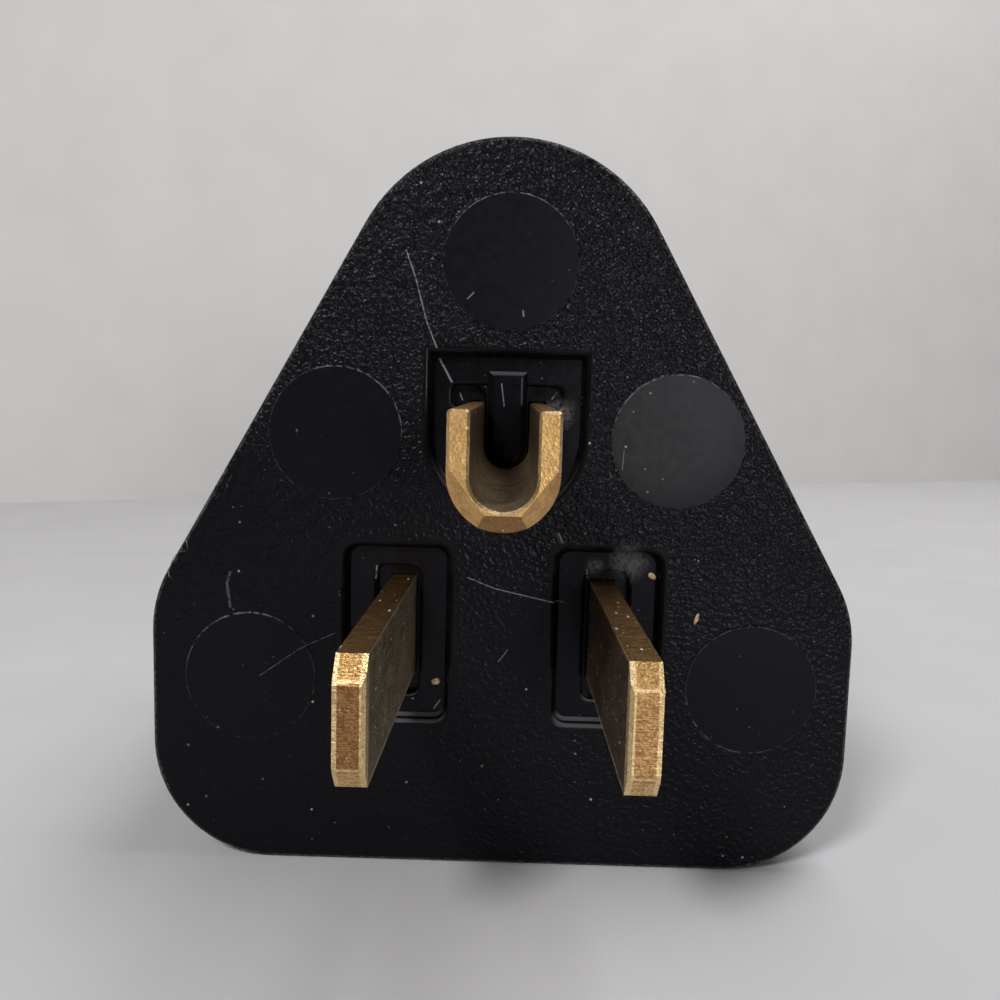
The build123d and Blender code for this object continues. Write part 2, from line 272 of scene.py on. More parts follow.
# A round spot whose edge follows a noise
def buildSpot():
    tree, given, give = newGroup(
        "spot",
        [("Flat", "Vector", (0, 0, 0)), ("Centre", "Vector", (0, 0, 0)), ("Radius", "Float", 0.001),
         ("Ragged", "Float", 0.5), ("Before", "Float", 0.0)],
        [("Mask", "Float")],
    )
    distance = vectorCompute(tree, "DISTANCE", given["Flat"], given["Centre"], "Value")
    share = compute(tree, "DIVIDE", distance, given["Radius"])
    near = ramp(tree, plus(tree, share, given["Ragged"]), 0.7, 1.4, 1.0, 0.0)
    feed(tree, give["Mask"], greatest(tree, near, given["Before"]))
    return tree


# The part of a thin ring that lies to one side of its centre, used for painted highlights on the lands'
# rims
def buildArc():
    tree, given, give = newGroup(
        "arc",
        [("Flat", "Vector", (0, 0, 0)), ("Centre", "Vector", (0, 0, 0)), ("Way", "Vector", (0, 0, 1)),
         ("Radius", "Float", 0.004), ("Width", "Float", 0.0001), ("Before", "Float", 0.0)],
        [("Mask", "Float")],
    )
    away = vectorCompute(tree, "SUBTRACT", given["Flat"], given["Centre"])
    fromRing = offset(tree, vectorCompute(tree, "LENGTH", away, output="Value"), given["Radius"])
    line = ramp(tree, fromRing, 0.0, given["Width"], 1.0, 0.0)
    fadeFrom, fadeTo = 0.0012, 0.0034  # how far to that side the ring fades in, in m
    toSide = vectorCompute(tree, "DOT_PRODUCT", away, given["Way"], "Value")
    side = ramp(tree, toSide, fadeFrom, fadeTo)
    feed(tree, give["Mask"], greatest(tree, times(tree, line, side), given["Before"]))
    return tree


# Edge wear, and painted edge highlights, along a mask of edges broken up with grit
def buildEdgeWear():
    tree, given, give = newGroup(
        "edgeWearAndHighlight",
        [("Place", "Vector", (0, 0, 0)), ("Edge", "Float", 0.0), ("Grit", "Float", 2500.0),
         ("Least", "Float", 0.0)],
        [("Mask", "Float")],
    )
    grit = noiseAt(tree, given["Place"], given["Grit"], 3.0, 0.65)
    grit = ramp(tree, grit, 0.38, 0.62, given["Least"], 1.0)
    feed(tree, give["Mask"], times(tree, given["Edge"], grit))
    return tree


mouldGrain = buildMouldGrain()
dust = buildDust()
stroke = buildStroke()
spot = buildSpot()
arc = buildArc()
edgeWearAndHighlight = buildEdgeWear()
print("shader groups ready")

coverFinish = {
    "colour": (0.0030, 0.0028, 0.0037, 1),
    "dustAndSheenColour": (0.33, 0.32, 0.31, 1),
    "scratchAndHighlightColour": (0.26, 0.26, 0.28, 1),
    "specular": 0.115,
    "specularTint": (0.95, 0.90, 1.0, 1),
    "grainSize": 0.00032,
    "grainDepth": 0.000065,
    "fullGrain": (0.016, 0.030),  # the grain is shallower below and deepest above
    "dusty": (0.022, 0.030),  # more fine dust below than above
    "landFront": -0.01707,  # only the lands stand in front of this
    "edgeFront": -0.0160,  # the edges in front of this get wear and painted highlights
    "bladeRecess": (6.65, 15.15, 3.6, 5.95),  # middle across and up, half width and half height, in mm
    "shieldRecess": (27.8, 5.1, 33.15),  # middle of its round bottom, half width and top, in mm
    "landRadius": 4.12,  # in mm
    "landRimWidth": 0.07,
    "landRimShine": 3.5,
    "landRimHighlights": [  # middle of a land, then the side where its rim gets a painted highlight
        ((0.0, 38.35), (0.0, 1.0)),
        ((-10.6, 27.75), (0.6, 0.8)),
        ((10.6, 27.75), (-0.3, 0.95)),
        ((15.9, 12.15), (-0.5, -0.87)),
        ((-15.9, 12.15), (-0.55, 0.83)),
    ],
    # dust haze with a painted sheen on the right land
    "landHazeAndSheen": [((10.0, 28.5), 4.9)],
    # rubbed patches with painted sheen in the recesses
    "rubbedAndSheen": [((7.9, 20.0), 1.7), ((5.9, 19.6), 0.9), ((3.3, 29.4), 1.3)],
    "scratchesAndGlints": [  # points across and up, in mm, then the width
        ([(-6.38, 38.93), (-5.75, 37.2), (-5.1, 34.78), (-4.43, 33.14)], 0.07),
        ([(-4.28, 32.46), (-3.52, 31.09)], 0.10),
        ([(-2.22, 18.89), (-0.47, 18.22), (3.88, 17.3)], 0.05),
        ([(0.42, 14.33), (0.19, 13.96), (-0.17, 13.5)], 0.035),
        ([(-15.32, 12.19), (-12.77, 14.03), (-10.54, 15.07)], 0.018),
        # painted glints on the lips of the left and the right slot
        ([(-8.05, 19.29), (-8.11, 18.51)], 0.09),
        ([(5.34, 19.41), (5.42, 18.83)], 0.10),
        # painted glint on the lower right corner of the left recess
        ([(-3.86, 10.6), (-4.24, 10.05)], 0.09),
        # painted glints on the tongue: a streak and its two corners
        ([(-0.4, 31.03), (-0.21, 29.67)], 0.06),
        ([(-3.03, 30.4), (-2.86, 29.97)], 0.06),
        ([(2.79, 30.18), (3.08, 30.56)], 0.06),
        # a thin painted glint on the right land
        ([(7.27, 27.17), (7.2, 25.93)], 0.03),
        ([(-2.6, 36.1), (-2.23, 36.49)], 0.06),
        ([(0.79, 35.49), (0.84, 35.15)], 0.08),
        ([(3.42, 21.83), (3.67, 21.28)], 0.10),
    ],
    "dent": [([(-17.2, 18.8), (-17.4, 18.1), (-17.2, 16.6)], 0.13)],
    "amounts": {  # how strongly each mark covers the plastic
        "rubbedAndSheen": 0.2, "dent": 0.25, "sillHighlight": 0.25, "worn": 0.16, "scratchesAndGlints": 0.7, "specks": 0.9,
    },
    "specks": {"Spacing": 0.0012, "Size": 0.09, "Share": 0.5},
    "fineDust": {"Spacing": 0.0005, "Size": 0.12},
    "fineShares": (0.22, 0.3),  # on the face, and more in the recesses
    "fineStrength": 0.45,
    "grit": {"ragged": 1400.0, "broken": 3800.0, "edges": 3000.0},  # noise scales
    "roughness": {"plain": 0.23, "grain": 0.05, "land": 0.10, "marks": 0.8},
}


def facePoint(point):
    return Vector((point[0], 0, point[1])) * mm


def strokes(tree, flat, lines):
    mask = 0.0
    for points, width in lines:
        for start, finish in zip(points, points[1:]):
            way = facePoint(finish) - facePoint(start)
            mask = useGroup(tree, stroke, Flat=flat, Start=facePoint(start), Way=way.normalized(),
                            Length=way.length, Width=width * mm, Before=mask)["Mask"]
    return mask


def spots(tree, flat, marks, ragged):
    mask = 0.0
    for centre, radius in marks:
        mask = useGroup(tree, spot, Flat=flat, Centre=facePoint(centre), Radius=radius * mm,
                        Ragged=ragged, Before=mask)["Mask"]
    return mask


def landRimHighlights(tree, flat):
    mask = 0.0
    for centre, way in coverFinish["landRimHighlights"]:
        mask = useGroup(tree, arc, Flat=flat, Centre=facePoint(centre), Way=(way[0], 0, way[1]),
                        Radius=coverFinish["landRadius"] * mm, Width=coverFinish["landRimWidth"] * mm,
                        Before=mask)["Mask"]
    return mask


def makeCoverPlastic():
    finish = coverFinish
    amounts = finish["amounts"]
    material, tree, surface, place = newMaterial("coverPlastic")
    x, y, z = split(tree, place)
    flat = vectorCompute(tree, "MULTIPLY", place, (1, 0, 1))
    land = compute(tree, "LESS_THAN", y, finish["landFront"])
    across, up, halfWidth, halfHeight = (value * mm for value in finish["bladeRecess"])
    fromSide = minus(tree, offset(tree, compute(tree, "ABSOLUTE", x), across), halfWidth)
    blades = greatest(tree, fromSide, minus(tree, offset(tree, z, up), halfHeight))
    middle, half, top = (value * mm for value in finish["shieldRecess"])
    below = compute(tree, "MINIMUM", minus(tree, z, middle), 0.0)
    fromArc = compute(tree, "SQRT", plus(tree, times(tree, x, x), times(tree, below, below)))
    shield = greatest(tree, minus(tree, fromArc, half), minus(tree, z, top))
    recess = ramp(tree, compute(tree, "MINIMUM", blades, shield), 0.0, 0.0003, 1.0, 0.0)
    grained = minus(tree, 1.0, greatest(tree, land, recess))
    grain = useGroup(tree, mouldGrain, Place=place, Size=finish["grainSize"])["Height"]
    ragged = noiseAt(tree, place, finish["grit"]["ragged"], 3.0, 0.65)
    broken = ramp(tree, noiseAt(tree, place, finish["grit"]["broken"], 2.0, 0.7), 0.36, 0.5, 0.25, 1.0)
    hazeAndSheen = times(tree, spots(tree, flat, finish["landHazeAndSheen"], times(tree, ragged, 0.35)), land)
    rubbedAndSheen = spots(tree, flat, finish["rubbedAndSheen"], ragged)
    lines = times(tree, strokes(tree, flat, finish["scratchesAndGlints"]), broken)
    dents = strokes(tree, flat, finish["dent"])
    dusty = ramp(tree, z, *finish["dusty"], 1.0, 0.35)
    onFace, inRecess = finish["fineShares"]
    fineShare = plus(tree, times(tree, dusty, onFace), times(tree, recess, inRecess))
    specks = useGroup(tree, dust, Place=place, **finish["specks"])["Mask"]
    fine = useGroup(tree, dust, Place=place, Share=fineShare, **finish["fineDust"])["Mask"]
    specks = greatest(tree, specks, times(tree, fine, finish["fineStrength"]))
    ny, nz = facing(tree)[1:]
    slant = between(tree, compute(tree, "ABSOLUTE", ny), 0.35, 0.9, 0.08)
    slant = times(tree, slant, compute(tree, "LESS_THAN", y, finish["edgeFront"]))
    # wear on the rounded rims, with painted highlight arcs on one side of each land's rim
    roundingAndRimHighlights = times(tree, slant, minus(tree, 1.0, recess))
    roundingAndRimHighlights = greatest(tree, roundingAndRimHighlights, times(tree, landRimHighlights(tree, flat), finish["landRimShine"]))
    worn = useGroup(tree, edgeWearAndHighlight, Place=place, Edge=roundingAndRimHighlights, Grit=finish["grit"]["edges"])["Mask"]
    # painted highlight on the upward-facing rims inside the recesses
    sillHighlight = times(tree, slant, recess, ramp(tree, nz, 0.15, 0.6))
    # painted sheen with dust haze on the right land
    cloudySheen = times(tree, hazeAndSheen, ramp(tree, ragged, 0.35, 0.65, 0.03, 0.06))
    dusted, scratchAndHighlight = finish["dustAndSheenColour"], finish["scratchAndHighlightColour"]
    colour = blendColour(tree, cloudySheen, finish["colour"], dusted)
    # rubbed patches and painted sheen
    colour = blendColour(tree, times(tree, rubbedAndSheen, broken, amounts["rubbedAndSheen"]), colour, dusted)
    colour = blendColour(tree, times(tree, dents, broken, amounts["dent"]), colour, scratchAndHighlight)
    colour = blendColour(tree, times(tree, sillHighlight, amounts["sillHighlight"]), colour, scratchAndHighlight)
    # edge wear and painted rim highlights
    colour = blendColour(tree, times(tree, worn, amounts["worn"]), colour, scratchAndHighlight)
    # real scratches, and painted glints
    colour = blendColour(tree, times(tree, lines, amounts["scratchesAndGlints"]), colour, scratchAndHighlight)
    colour = blendColour(tree, times(tree, specks, amounts["specks"]), colour, dusted)
    feed(tree, surface.inputs["Base Color"], colour)
    rough = finish["roughness"]
    onGrain, onLand = times(tree, grained, rough["grain"]), times(tree, land, rough["land"])
    uneven = ramp(tree, ragged, 0.3, 0.7, -0.03, 0.05)
    roughness = plus(tree, rough["plain"], onGrain, onLand, uneven)
    roughness = greatest(tree, roughness, times(tree, greatest(tree, lines, specks), rough["marks"]))
    feed(tree, surface.inputs["Roughness"], roughness)
    depth = ramp(tree, plus(tree, z, times(tree, x, 0.35)), *finish["fullGrain"], 0.4, 1.0)
    bump = bumpOf(tree, grain, finish["grainDepth"], times(tree, grained, depth))
    feed(tree, surface.inputs["Normal"], bump)
    surface.inputs["Specular IOR Level"].default_value = finish["specular"]
    surface.inputs["Specular Tint"].default_value = finish["specularTint"]
    return material


housingFinish = {
    "colour": (0.0045, 0.0043, 0.0052, 1),
    "specular": 0.2,
    "grainSize": 0.00027,
    "grainDepth": 0.00004,
    "backFace": 0.0166,  # the socket face lies behind this
    "rearEdge": 0.0152,  # edges behind this are worn
    "seamFront": -0.0077,  # and so are those in front of this, at the seam
    "amounts": {"worn": 0.07, "scuffs": 0.10, "specks": 0.55},
    "specks": {"Spacing": 0.0016, "Size": 0.055, "Share": 0.35},
    "grit": {"broken": 2600.0, "edges": 1800.0, "uneven": 500.0},  # noise scales
    "roughness": (0.30, 0.40),
    "scuffs": [  # on the socket face, in mm across and up
        ([(-15.5, 13.5), (-7.0, 12.6)], 0.5),
        ([(6.0, 5.6), (16.0, 6.4)], 0.6),
        ([(-4.5, 27.0), (-3.8, 37.0)], 0.5),
        ([(3.2, 25.5), (9.5, 21.5)], 0.4),
        ([(-12.5, 3.2), (3.0, 2.4)], 0.8),
    ],
}


def makeHousingPlastic():
    finish = housingFinish
    amounts = finish["amounts"]
    material, tree, surface, place = newMaterial("housingPlastic")
    y = split(tree, place)[1]
    grain = useGroup(tree, mouldGrain, Place=place, Size=finish["grainSize"])["Height"]
    specks = useGroup(tree, dust, Place=place, **finish["specks"])["Mask"]
    broken = ramp(tree, noiseAt(tree, place, finish["grit"]["broken"], 3.0, 0.7), 0.42, 0.6)
    back = compute(tree, "GREATER_THAN", y, finish["backFace"])
    flat = vectorCompute(tree, "MULTIPLY", place, (1, 0, 1))
    scuffs = times(tree, strokes(tree, flat, finish["scuffs"]), back, broken)
    ny = compute(tree, "ABSOLUTE", facing(tree)[1])
    slant = between(tree, ny, 0.3, 0.85, 0.1)
    seam = compute(tree, "LESS_THAN", y, finish["seamFront"])
    rear = compute(tree, "GREATER_THAN", y, finish["rearEdge"])
    edge = times(tree, slant, greatest(tree, rear, seam))
    worn = useGroup(tree, edgeWearAndHighlight, Place=place, Edge=edge, Grit=finish["grit"]["edges"])["Mask"]
    dusted, scratchAndHighlight = coverFinish["dustAndSheenColour"], coverFinish["scratchAndHighlightColour"]
    colour = blendColour(tree, times(tree, worn, amounts["worn"]), finish["colour"], scratchAndHighlight)
    colour = blendColour(tree, times(tree, scuffs, amounts["scuffs"]), colour, dusted)
    colour = blendColour(tree, times(tree, specks, amounts["specks"]), colour, dusted)
    feed(tree, surface.inputs["Base Color"], colour)
    uneven = noiseAt(tree, place, finish["grit"]["uneven"], 3.0, 0.6)
    uneven = ramp(tree, uneven, 0.3, 0.7, *finish["roughness"])
    feed(tree, surface.inputs["Roughness"], greatest(tree, uneven, times(tree, specks, 0.8)))
    feed(tree, surface.inputs["Normal"], bumpOf(tree, grain, finish["grainDepth"]))
    surface.inputs["Specular IOR Level"].default_value = finish["specular"]
    surface.inputs["Specular Tint"].default_value = coverFinish["specularTint"]
    return material


brassFinish = {
    "cut": (0.76, 0.48, 0.19, 1),
    "cutDark": (0.42, 0.25, 0.10, 1),
    "paintedShade": (0.40, 0.33, 0.33, 1),  # a tint that darkens what it covers, for painted shade
    "rolled": (0.40, 0.33, 0.22, 1),
    "rolledDark": (0.14, 0.11, 0.07, 1),
    "dust": (0.72, 0.67, 0.57, 1),
    # edge colour for painted highlights and wear on the rims
    "edgeHighlightAndWear": (0.93, 0.72, 0.40, 1),
    # painted shade inside the pin's fold
    "innerShade": (0.085, 0.055, 0.032, 1),
    "sheared": (1300.0, 4200.0, 9000.0),  # streaks across the sheared edges of the blades
    "hammered": (1300.0, 2200.0, 1300.0),  # dapples on the cut faces of the pin
    "drawn": (5200.0, 300.0, 5200.0),  # streaks along the rolled faces
    "pits": 7500.0,
    "blotches": 500.0,
    "edgeGrit": 3500.0,
    "relief": 0.00004,
    "roughness": (0.46, 0.32),  # in the dark streaks and in the light ones
    "tarnishCover": 0.35,  # how much of the metal's shine a rolled face loses
    "edgeHighlightAndWearAmount": 0.7,
    "speckAmount": 0.8,
    "speckStretch": (1.0, 0.3, 1.0),
    "specks": {"Spacing": 0.00038, "Size": 0.24},
}


# Brass strip: sheared edges with cross streaks, rolled faces with long ones
def buildBrassStrip():
    finish = brassFinish
    tree, given, give = newGroup(
        "brassStrip",
        [("Place", "Vector", (0, 0, 0)), ("Streaks", "Vector", finish["sheared"]),
         ("Evenness", "Float", 0.0), ("Rolled", "Float", 0.0), ("Tarnish", "Float", 1.0)],
        [("Colour", "Color"), ("Roughness", "Float"), ("Height", "Float")],
    )
    place, rolled = given["Place"], given["Rolled"]
    sheared = noiseAt(tree, vectorCompute(tree, "MULTIPLY", place, given["Streaks"]), 1.0, 3.0, 0.65)
    drawn = noiseAt(tree, stretched(tree, place, finish["drawn"]), 1.0, 2.0, 0.6)
    blotch = noiseAt(tree, place, finish["blotches"], 3.0, 0.6)
    pits = noiseAt(tree, place, finish["pits"], 2.0, 0.65)
    cutShade = plus(tree, times(tree, sheared, 0.35), times(tree, blotch, 0.2), times(tree, pits, 0.45))
    cutShade = ramp(tree, cutShade, 0.42, 0.56, times(tree, given["Evenness"], 0.6), 1.0)
    cut = blendColour(tree, cutShade, finish["cutDark"], finish["cut"])
    skinShade = plus(tree, times(tree, blotch, 0.25), times(tree, drawn, 0.2), times(tree, pits, 0.55))
    skin = blendColour(tree, ramp(tree, skinShade, 0.42, 0.6), finish["rolledDark"], finish["rolled"])
    feed(tree, give["Colour"], blendColour(tree, times(tree, rolled, given["Tarnish"]), cut, skin))
    rough = ramp(tree, sheared, 0.3, 0.7, *finish["roughness"])
    feed(tree, give["Roughness"], plus(tree, rough, times(tree, rolled, 0.06)))
    cutRelief = times(tree, sheared, minus(tree, 1.0, rolled))
    pitRelief = times(tree, pits, minus(tree, 1.0, given["Evenness"]))
    feed(tree, give["Height"], plus(tree, cutRelief, pitRelief))
    return tree


brassStrip = buildBrassStrip()


def finishBrass(tree, surface, place, rolled, edge, tarnish, speckShare,
                paintedShadeMask=0.0, innerShadeMask=0.0, streaks="sheared", evenness=0.0):
    # the shared last steps of each brass material
    finish = brassFinish
    strip = useGroup(tree, brassStrip, Place=place, Rolled=rolled, Tarnish=tarnish,
                     Streaks=finish[streaks], Evenness=evenness)
    worn = useGroup(tree, edgeWearAndHighlight, Place=place, Edge=edge, Grit=finish["edgeGrit"], Least=0.5)["Mask"]
    along = stretched(tree, place, finish["speckStretch"])
    specks = useGroup(tree, dust, Place=along, Share=speckShare, **finish["specks"])["Mask"]
    # painted shade as a darkening tint
    colour = blendColour(tree, paintedShadeMask, strip["Colour"], finish["paintedShade"], "MULTIPLY")
    # painted shade inside the fold
    colour = blendColour(tree, innerShadeMask, colour, finish["innerShade"])
    # painted edge highlights with wear
    colour = blendColour(tree, times(tree, worn, finish["edgeHighlightAndWearAmount"]), colour, finish["edgeHighlightAndWear"])
    dusted = times(tree, specks, finish["speckAmount"])
    colour = blendColour(tree, dusted, colour, finish["dust"])
    feed(tree, surface.inputs["Base Color"], colour)
    coated = greatest(tree, dusted, times(tree, rolled, tarnish, finish["tarnishCover"]))
    feed(tree, surface.inputs["Metallic"], minus(tree, 1.0, coated))
    feed(tree, surface.inputs["Roughness"], plus(tree, strip["Roughness"], times(tree, specks, 0.3)))
    feed(tree, surface.inputs["Normal"], bumpOf(tree, strip["Height"], finish["relief"]))


bladeFinish = {  # places in mm
    "middle": 15.45,  # height of the blades' middle line
    "tipAcross": 6.72,  # from the middle of the plug to the middle of a tip
    "tipFront": -34.0,
    "sideRim": (0.49, 0.53),
    "crease": (2.02, 2.12),
    "creaseSoft": 0.04,
    "longRim": (3.02, 3.11),
    "shadedEnds": (0.54, 0.46),  # painted shade on both ends, and what the left one has more
    # painted shade on the tip's slopes and on upward faces
    "shadedSlope": 0.55,
    "shadedTop": 0.6,
}


def makeBladeBrass():
    # rolled faces look sideways; the cut edges are the top, the bottom and the tip
    finish = bladeFinish
    material, tree, surface, place = newMaterial("bladeBrass")
    nx, ny, nz = facing(tree)
    x, y, z = split(tree, place)
    across = compute(tree, "ABSOLUTE", nx)
    rolled = ramp(tree, across, 0.8, 0.9)
    fromMiddle = offset(tree, z, finish["middle"] * mm)
    fromCore = offset(tree, compute(tree, "ABSOLUTE", x), finish["tipAcross"] * mm)
    tip = compute(tree, "LESS_THAN", y, finish["tipFront"] * mm)
    sideRim = ramp(tree, fromCore, *(value * mm for value in finish["sideRim"]))
    low, high = (value * mm for value in finish["crease"])
    crease = between(tree, fromMiddle, low, high, finish["creaseSoft"] * mm)
    longRim = ramp(tree, fromMiddle, *(value * mm for value in finish["longRim"]))
    # painted highlights with wear on the tip's rims, the crease and the long rims
    tipEdges = times(tree, tip, greatest(tree, sideRim, crease))
    edges = greatest(tree, tipEdges, times(tree, rolled, longRim), between(tree, across, 0.4, 0.8, 0.05))
    # painted shade: the ends, the left one more, upward faces, the tip's slopes and the right blade's
    # rolled faces
    ends = ramp(tree, times(tree, ny, -1.0), 0.9, 0.97)
    left = compute(tree, "LESS_THAN", x, 0.0)
    both, more = finish["shadedEnds"]
    paintedShadeMask = times(tree, ends, plus(tree, both, times(tree, left, more)))
    right = minus(tree, 1.0, left)
    upward = ramp(tree, nz, 0.8, 0.95, 0.0, finish["shadedTop"])
    slope = times(tree, tip, between(tree, nz, 0.2, 0.8, 0.05), finish["shadedSlope"])
    paintedShadeMask = greatest(tree, paintedShadeMask, upward, slope, times(tree, rolled, right))
    finishBrass(tree, surface, place, rolled, edges, tarnish=1.0, speckShare=0.9, paintedShadeMask=paintedShadeMask)
    return material


pinFinish = {
    "railsFrom": 0.0293,  # the cut tops of the two arms lie above this
    "middle": 0.0278,  # height of the fold's centre
    "innerShade": (0.0262, 0.0285),  # height over which painted shade turns the inside from brown to nearly black
    "innerShadeAmounts": (0.4, 0.9),
    "rightArm": (0.0005, 0.0025),  # the arm on this side gets more painted shade
    # painted shade amounts: the lower facet, the front, the top and the right arm
    "paintedShade": {"below": 0.85, "front": 0.33, "top": 0.8, "rightArm": 0.55},
}


def makePinBrass():
    # the strip is cut at the tip and along the tops of the two arms; its inside gets painted shade
    finish = pinFinish
    material, tree, surface, place = newMaterial("pinBrass")
    nx, ny, nz = facing(tree)
    parts = split(tree, place)
    x, z = parts[0], parts[2]
    tip = ramp(tree, times(tree, ny, -1.0), 0.45, 0.6)
    rails = times(tree, ramp(tree, nz, 0.5, 0.8), compute(tree, "GREATER_THAN", z, finish["railsFrom"]))
    rolled = minus(tree, 1.0, greatest(tree, tip, rails))
    # painted highlight with wear on the tip's rims that don't face down
    highlightRims = between(tree, compute(tree, "ABSOLUTE", ny), 0.35, 0.9, 0.05)
    highlightRims = times(tree, highlightRims, ramp(tree, nz, -0.25, -0.1))
    paintedShade = finish["paintedShade"]
    # painted shade on the tip's lower facet and upward faces and on the right arm
    lowFacet = times(tree, ramp(tree, times(tree, nz, -1.0), 0.5, 0.62), paintedShade["below"])
    upward = ramp(tree, nz, 0.3, 0.6, paintedShade["front"], paintedShade["top"])
    rightArm = ramp(tree, x, *finish["rightArm"], 0.0, paintedShade["rightArm"])
    paintedShadeMask = times(tree, greatest(tree, tip, rails), greatest(tree, lowFacet, upward, rightArm))
    # painted shade on the inside of the fold, darker higher up
    above = minus(tree, z, finish["middle"])
    outward = plus(tree, times(tree, x, nx), times(tree, above, nz))
    inside = times(tree, compute(tree, "LESS_THAN", outward, 0.0), rolled)
    innerShadeMask = times(tree, inside, ramp(tree, z, *finish["innerShade"], *finish["innerShadeAmounts"]))
    finishBrass(tree, surface, place, rolled, highlightRims, tarnish=0.8, speckShare=0.3, paintedShadeMask=paintedShadeMask,
                innerShadeMask=innerShadeMask, streaks="hammered", evenness=0.65)
    return material


def makeContactBrass():
    # cleaner than the pins, for it stays inside
    material, tree, surface, place = newMaterial("contactBrass")
    finishBrass(tree, surface, place, rolled=0.6, edge=0.0, tarnish=0.3, speckShare=0.05)
    return material


steelFinish = {
    "light": (0.60, 0.60, 0.61, 1),
    "stained": (0.38, 0.38, 0.37, 1),
    "edge": (0.78, 0.78, 0.78, 1),
    "brushed": (900.0, 6000.0, 900.0),
    "stains": 600.0,
    "grit": 2000.0,
    "roughness": (0.24, 0.42),
    "relief": 0.00001,
}


def makeSteel():
    finish = steelFinish
    material, tree, surface, place = newMaterial("platedSteel")
    brushed = noiseAt(tree, stretched(tree, place, finish["brushed"]), 1.0, 3.0, 0.6)
    stains = noiseAt(tree, place, finish["stains"], 4.0, 0.6)
    ny = compute(tree, "ABSOLUTE", facing(tree)[1])
    edge = between(tree, ny, 0.3, 0.9, 0.1)
    worn = useGroup(tree, edgeWearAndHighlight, Place=place, Edge=edge, Grit=finish["grit"])["Mask"]
    colour = blendColour(tree, ramp(tree, stains, 0.35, 0.7), finish["stained"], finish["light"])
    colour = blendColour(tree, times(tree, worn, 0.6), colour, finish["edge"])
    feed(tree, surface.inputs["Base Color"], colour)
    surface.inputs["Metallic"].default_value = 1.0
    feed(tree, surface.inputs["Roughness"], ramp(tree, brushed, 0.3, 0.7, *finish["roughness"]))
    feed(tree, surface.inputs["Normal"], bumpOf(tree, brushed, finish["relief"]))
    return material


bladeBrass = makeBladeBrass()
contactBrass = makeContactBrass()
steel = makeSteel()
finishes = {
    "plug_cover": makeCoverPlastic(),
    "rear_housing": makeHousingPlastic(),
    "ground_pin": makePinBrass(),
}
for side in ("neutral", "line"):
    finishes[side + "_blade"] = bladeBrass
for group in ("neutral", "line", "earth"):
    finishes[group + "_contact"] = contactBrass
    finishes[group + "_clip"] = steel
for group in ("neutral", "line", "ground"):
    finishes[group + "_rivet"] = contactBrass
finishes["housing_screw"] = steel
for name, material in finishes.items():
    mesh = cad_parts[name].data
    mesh.materials.clear()
    mesh.materials.append(material)
print("finishes on", len(finishes), "nodes")

# Small things on the adapter: crumbs on the face, a burr on a blade, shavings at the left edge (in mm)
crumbs = {
    "crumb_1": {"place": (-4.16, -16.16, 11.86), "size": (0.30, 0.15, 0.25), "turn": 20, "seed": 3},
    "crumb_2": {"place": (9.48, -16.16, 19.16), "size": (0.30, 0.13, 0.20), "turn": -30, "seed": 5},
    "crumb_3": {"place": (12.25, -17.06, 16.66), "size": (0.13, 0.10, 0.42), "turn": -18, "seed": 9},
}
burr = {"place": (7.38, -34.93, 17.58), "size": (0.10, 0.16, 0.26), "turn": 12, "seed": 2}
shavings = {
    "thickness": 0.035,
    "front": -16.97,
    "curls": [
        [(-17.08, 24.9), (-17.22, 24.64), (-17.4, 24.4), (-17.33, 24.22), (-17.54, 23.9),
         (-17.8, 23.76), (-18.03, 23.8), (-18.17, 23.57), (-18.4, 23.45), (-18.56, 23.24),
         (-18.75, 22.81), (-19.07, 22.33), (-19.38, 21.9), (-19.7, 21.36)],
        [(-19.97, 20.78), (-19.87, 20.35), (-19.93, 19.98), (-20.12, 20.08), (-20.46, 20.0),
         (-20.78, 19.64), (-21.0, 19.04), (-21.2, 18.61)],
        [(-21.12, 18.77), (-21.05, 18.4), (-20.88, 18.22)],
    ],
}
bitPaints = {  # light colour, dark colour, metallic
    "chaff": ((0.55, 0.42, 0.26, 1), (0.32, 0.21, 0.11, 1), 0.0),
    "burrBrass": ((0.95, 0.78, 0.50, 1), (0.75, 0.52, 0.26, 1), 1.0),
    "whitenedPlastic": ((0.20, 0.20, 0.205, 1), (0.08, 0.08, 0.085, 1), 0.0),
}
bitGrit = {"scale": 5000.0, "relief": 0.00002, "roughness": (0.7, 0.45)}


def makeBitMaterial(name):
    light, dark, metallic = bitPaints[name]
    material, tree, surface, place = newMaterial(name)
    mottled = ramp(tree, noiseAt(tree, place, bitGrit["scale"], 3.0, 0.6), 0.35, 0.65)
    feed(tree, surface.inputs["Base Color"], blendColour(tree, mottled, dark, light))
    feed(tree, surface.inputs["Roughness"], ramp(tree, mottled, 0.0, 1.0, *bitGrit["roughness"]))
    surface.inputs["Metallic"].default_value = metallic
    feed(tree, surface.inputs["Normal"], bumpOf(tree, mottled, bitGrit["relief"]))
    return material


def settle(piece, material):
    # places a finished piece's mesh in the frame and hands it to the body
    bpy.ops.object.mode_set(mode="OBJECT")
    bpy.ops.object.transform_apply(location=True, rotation=True, scale=True)
    bpy.ops.object.shade_smooth()
    piece.data.materials.append(material)
    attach(piece, "root")


